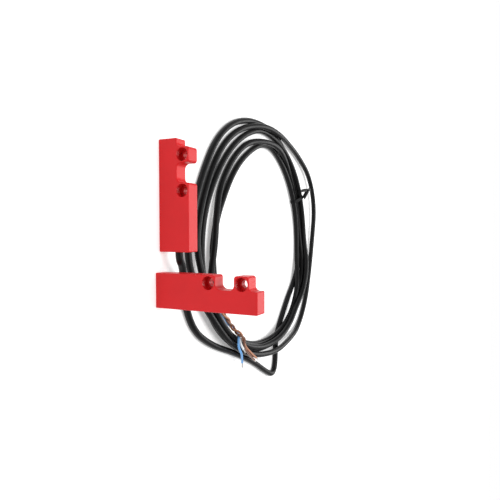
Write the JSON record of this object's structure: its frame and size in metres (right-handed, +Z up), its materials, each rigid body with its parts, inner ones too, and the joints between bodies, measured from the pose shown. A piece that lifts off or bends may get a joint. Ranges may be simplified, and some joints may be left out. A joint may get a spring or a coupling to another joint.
{
  "type": "magnetic safety switch",
  "caption": "Compact coded magnetic safety switch: a notched red block on a coiled black lead with bare cores, and its separate coded actuator block.",
  "frame": {"origin": "on the resting surface, under the middle of the box round the two blocks", "axes": "+Z up, +X along the switch towards its lead and the actuator, +Y from the fronts to the mounting backs"},
  "size_m": [0.1678, 0.2082, 0.051],
  "materials": {
    "housing_plastic": "satin moulded",
    "potting_resin": "cast satin",
    "board_laminate": "satin",
    "chip_ceramic": "matt",
    "solder": "bright",
    "capsule_glass": "clear greenish",
    "reed_metal": "plated",
    "magnet_ferrite": "ground",
    "seal_rubber": "matt",
    "sheath_plastic": "satin",
    "core_blue": "satin",
    "core_white": "satin",
    "core_light_brown": "satin",
    "core_brown": "satin",
    "tinned_copper": "stranded",
    "tie_plastic": "matt"
  },
  "bodies": {
    "switch": {"switch_housing": "housing_plastic", "switch_potting": "potting_resin", "circuit_board": "board_laminate", "series_resistors": "chip_ceramic", "solder_joints": "solder", "cable_seal": "seal_rubber", "cable_entry": "sheath_plastic", "cable_exit_run": "sheath_plastic", "cable_coil": "sheath_plastic", "cable_end_run": "sheath_plastic", "core_tips": "tinned_copper", "tie_loop": "tie_plastic", "tie_twist": "tie_plastic", "reed_glass_a": "capsule_glass", "reed_leads_a": "reed_metal", "reed_glass_b": "capsule_glass", "reed_leads_b": "reed_metal", "inner_core_blue": "core_blue", "core_blue": "core_blue", "inner_core_white": "core_white", "core_white": "core_white", "inner_core_light_brown": "core_light_brown", "core_light_brown": "core_light_brown", "inner_core_brown": "core_brown", "core_brown": "core_brown"},
    "actuator": {"actuator_housing": "housing_plastic", "actuator_potting": "potting_resin", "coding_magnet_1": "magnet_ferrite", "coding_magnet_2": "magnet_ferrite", "coding_magnet_3": "magnet_ferrite"},
    "reed_blade_a": {"reed_blade_a": "reed_metal"},
    "reed_blade_b": {"reed_blade_b": "reed_metal"}
  },
  "joints": [
    {"name": "actuator_removal", "type": "slide", "parent": "switch", "child": "actuator", "axis": [0, -1, 0], "range_m": [0, 0.05]},
    {"name": "reed_a_flex", "type": "hinge", "parent": "switch", "child": "reed_blade_a", "pos_m": [-0.0238, 0.00178, 0.0036], "axis": [0, 0, 1], "range_deg": [0, 1.8], "stiffness_Nm_per_rad": 0.01},
    {"name": "reed_b_flex", "type": "hinge", "parent": "switch", "child": "reed_blade_b", "pos_m": [-0.0045, 0.00178, 0.0036], "axis": [0, 0, 1], "range_deg": [0, 1.8], "stiffness_Nm_per_rad": 0.01}
  ]
}
